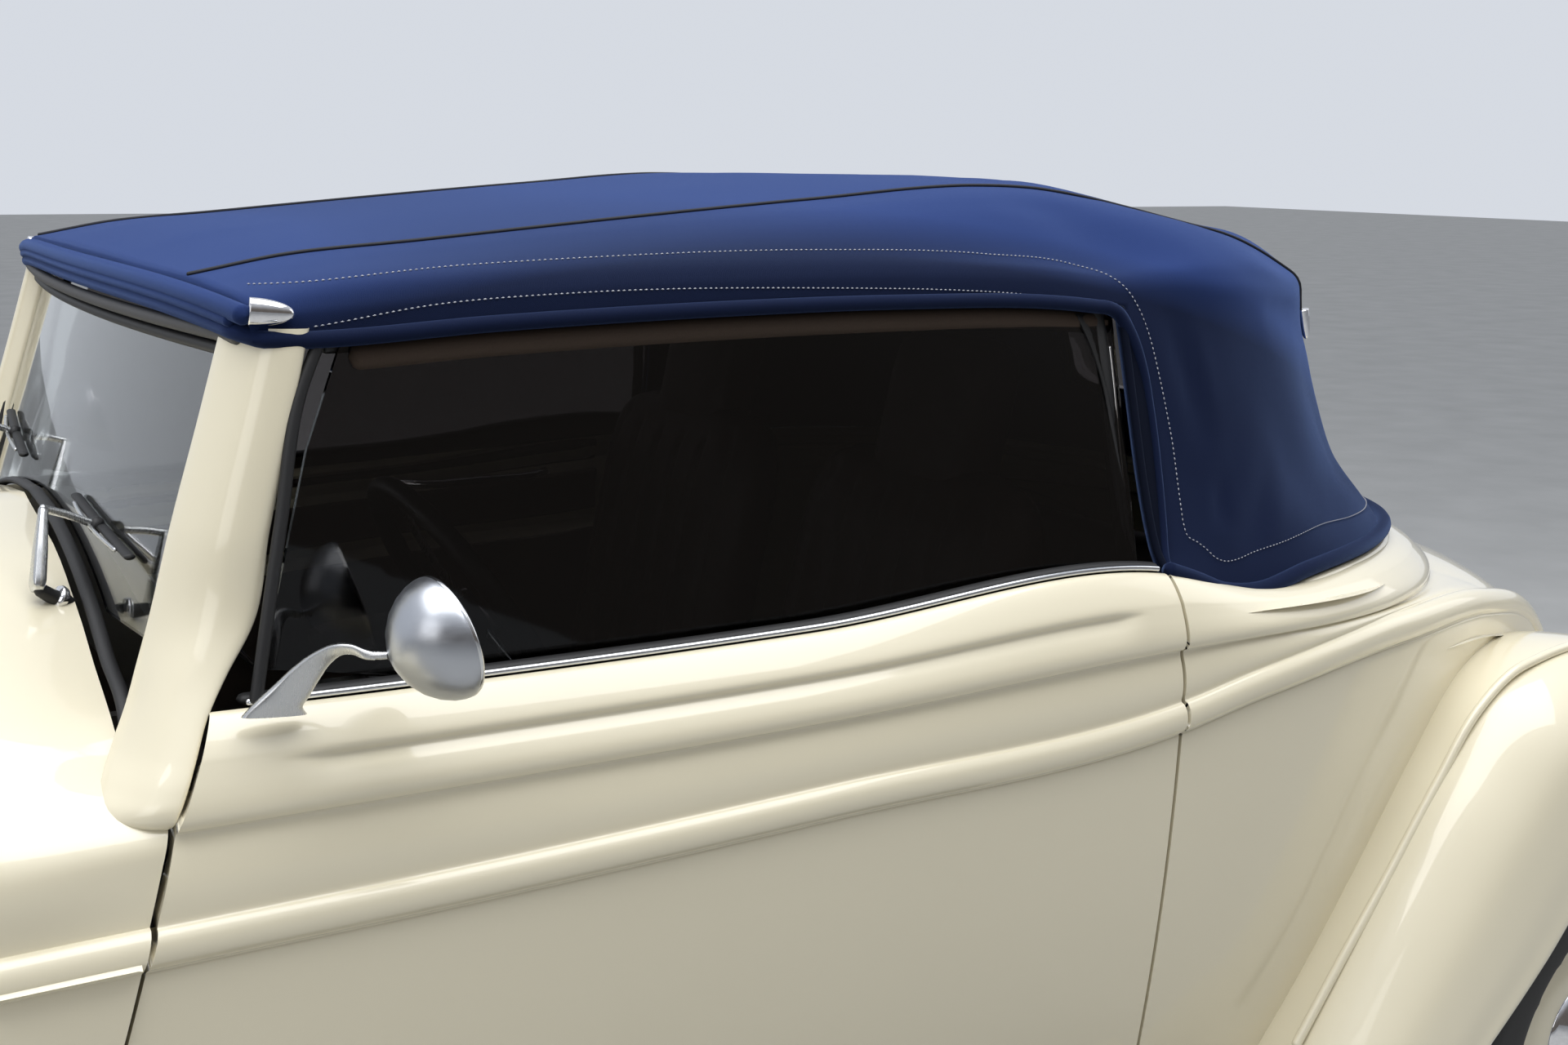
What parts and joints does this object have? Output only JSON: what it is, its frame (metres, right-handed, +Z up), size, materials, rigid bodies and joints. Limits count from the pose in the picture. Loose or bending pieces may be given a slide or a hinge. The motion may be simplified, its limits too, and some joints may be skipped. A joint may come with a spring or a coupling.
{
  "type": "two-door convertible car",
  "caption": "Pre-war style two-door convertible with a raised fabric top, separate fenders, rear-hinged doors, split hood and steered front wheels.",
  "frame": {"origin": "on the ground under the middle of the car's box", "axes": "+X forward, +Y to the car's left, +Z up"},
  "size_m": [4.4296, 1.736, 1.517],
  "materials": {
    "cream_paint": "gloss",
    "top_cloth": "woven",
    "clear_glass": "polished",
    "dark_glass": "tinted",
    "bright_chrome": "polished",
    "brushed_alu": "brushed",
    "frame_black": "satin",
    "floor_black": "matte",
    "tyre_rubber": "matte",
    "cast_metal": "cast",
    "seat_leather": "grained",
    "dash_plastic": "satin",
    "wheel_plastic": "satin",
    "lamp_red": "polished",
    "exhaust_steel": "brushed"
  },
  "bodies": {
    "chassis": {"cowl": "cream_paint", "windscreen_frame": "cream_paint", "quarter_left": "cream_paint", "quarter_right": "cream_paint", "tail_panel": "cream_paint", "front_fender_left": "cream_paint", "front_fender_right": "cream_paint", "rear_fender_left": "cream_paint", "rear_fender_right": "cream_paint", "running_boards": "cream_paint", "hood_side_left": "cream_paint", "hood_side_right": "cream_paint", "grille_shell": "cream_paint", "soft_top": "top_cloth", "windscreen_glass": "clear_glass", "headlamp_lenses": "clear_glass", "rear_window": "dark_glass", "grille_bars": "bright_chrome", "hood_hinge": "bright_chrome", "headlamps": "bright_chrome", "front_bumper": "bright_chrome", "rear_bumper": "bright_chrome", "wipers": "brushed_alu", "frame_rails": "frame_black", "front_axle": "frame_black", "rear_axle": "frame_black", "top_frame": "frame_black", "steering_column": "frame_black", "floor_pan": "floor_black", "firewall": "floor_black", "fuel_tank": "floor_black", "radiator": "floor_black", "engine_mass": "cast_metal", "seat_cushions": "seat_leather", "seat_backs": "seat_leather", "rear_bench": "seat_leather", "dashboard": "dash_plastic", "tail_lamps": "lamp_red", "exhaust": "exhaust_steel"},
    "door_left": {"door_left": "cream_paint", "door_glass_left": "dark_glass", "mirror_left": "brushed_alu"},
    "door_right": {"door_right": "cream_paint", "door_glass_right": "dark_glass", "mirror_right": "brushed_alu"},
    "deck_lid": {"deck_lid": "cream_paint"},
    "hood_left": {"hood_left": "cream_paint"},
    "hood_right": {"hood_right": "cream_paint"},
    "wheel_rl": {"tyre_rl": "tyre_rubber", "rim_rl": "bright_chrome"},
    "wheel_rr": {"tyre_rr": "tyre_rubber", "rim_rr": "bright_chrome"},
    "wheel_fl": {"tyre_fl": "tyre_rubber", "rim_fl": "bright_chrome"},
    "wheel_fr": {"tyre_fr": "tyre_rubber", "rim_fr": "bright_chrome"},
    "steer_left": {"knuckle_left": "frame_black"},
    "steer_right": {"knuckle_right": "frame_black"},
    "tie_rod": {"tie_rod": "frame_black"},
    "steering_wheel": {"steering_wheel": "wheel_plastic"}
  },
  "joints": [
    {"name": "door_left_hinge", "type": "hinge", "parent": "chassis", "child": "door_left", "pos_m": [-0.568, 0.748, 0.7], "axis": [0, 0, 1], "range_deg": [0, 65]},
    {"name": "door_right_hinge", "type": "hinge", "parent": "chassis", "child": "door_right", "pos_m": [-0.568, -0.748, 0.7], "axis": [0, 0, 1], "range_deg": [-65, 0]},
    {"name": "deck_lid_hinge", "type": "hinge", "parent": "chassis", "child": "deck_lid", "pos_m": [-1.508, 0, 0.958], "axis": [0, 1, 0], "range_deg": [0, 45]},
    {"name": "hood_left_hinge", "type": "hinge", "parent": "chassis", "child": "hood_left", "pos_m": [0.9, 0, 1.13926], "axis": [0.9978, 0, -0.0669], "range_deg": [0, 60]},
    {"name": "hood_right_hinge", "type": "hinge", "parent": "chassis", "child": "hood_right", "pos_m": [0.9, 0, 1.13926], "axis": [0.9978, 0, -0.0669], "range_deg": [-60, 0]},
    {"name": "roll_rear_left", "type": "hinge", "parent": "chassis", "child": "wheel_rl", "pos_m": [-1.33, 0.725, 0.345], "axis": [0, 1, 0], "continuous": true},
    {"name": "roll_rear_right", "type": "hinge", "parent": "chassis", "child": "wheel_rr", "pos_m": [-1.33, -0.725, 0.345], "axis": [0, 1, 0], "continuous": true},
    {"name": "steer_left_pivot", "type": "hinge", "parent": "chassis", "child": "steer_left", "pos_m": [1.515, 0.59, 0.315], "axis": [0, 0, 1], "range_deg": [-28, 28]},
    {"name": "steer_right_pivot", "type": "hinge", "parent": "chassis", "child": "steer_right", "pos_m": [1.515, -0.59, 0.315], "axis": [0, 0, 1], "range_deg": [-28, 28]},
    {"name": "roll_front_left", "type": "hinge", "parent": "steer_left", "child": "wheel_fl", "pos_m": [1.515, 0.72, 0.315], "axis": [0, 1, 0], "continuous": true},
    {"name": "roll_front_right", "type": "hinge", "parent": "steer_right", "child": "wheel_fr", "pos_m": [1.515, -0.72, 0.315], "axis": [0, 1, 0], "continuous": true},
    {"name": "tie_rod_pivot", "type": "hinge", "parent": "steer_left", "child": "tie_rod", "pos_m": [1.365, 0.59, 0.213], "axis": [0, 0, 1], "range_deg": [-28, 28]},
    {"name": "steering_wheel_turn", "type": "hinge", "parent": "chassis", "child": "steering_wheel", "pos_m": [0.122, 0.3, 1.014], "axis": [0.866, 0, -0.5], "range_deg": [-400, 400]}
  ],
  "couplings": [
    {"joint": "steer_right_pivot", "follows": "steer_left_pivot", "ratio": 1},
    {"joint": "tie_rod_pivot", "follows": "steer_left_pivot", "ratio": -1},
    {"joint": "steering_wheel_turn", "follows": "steer_left_pivot", "ratio": -14}
  ]
}
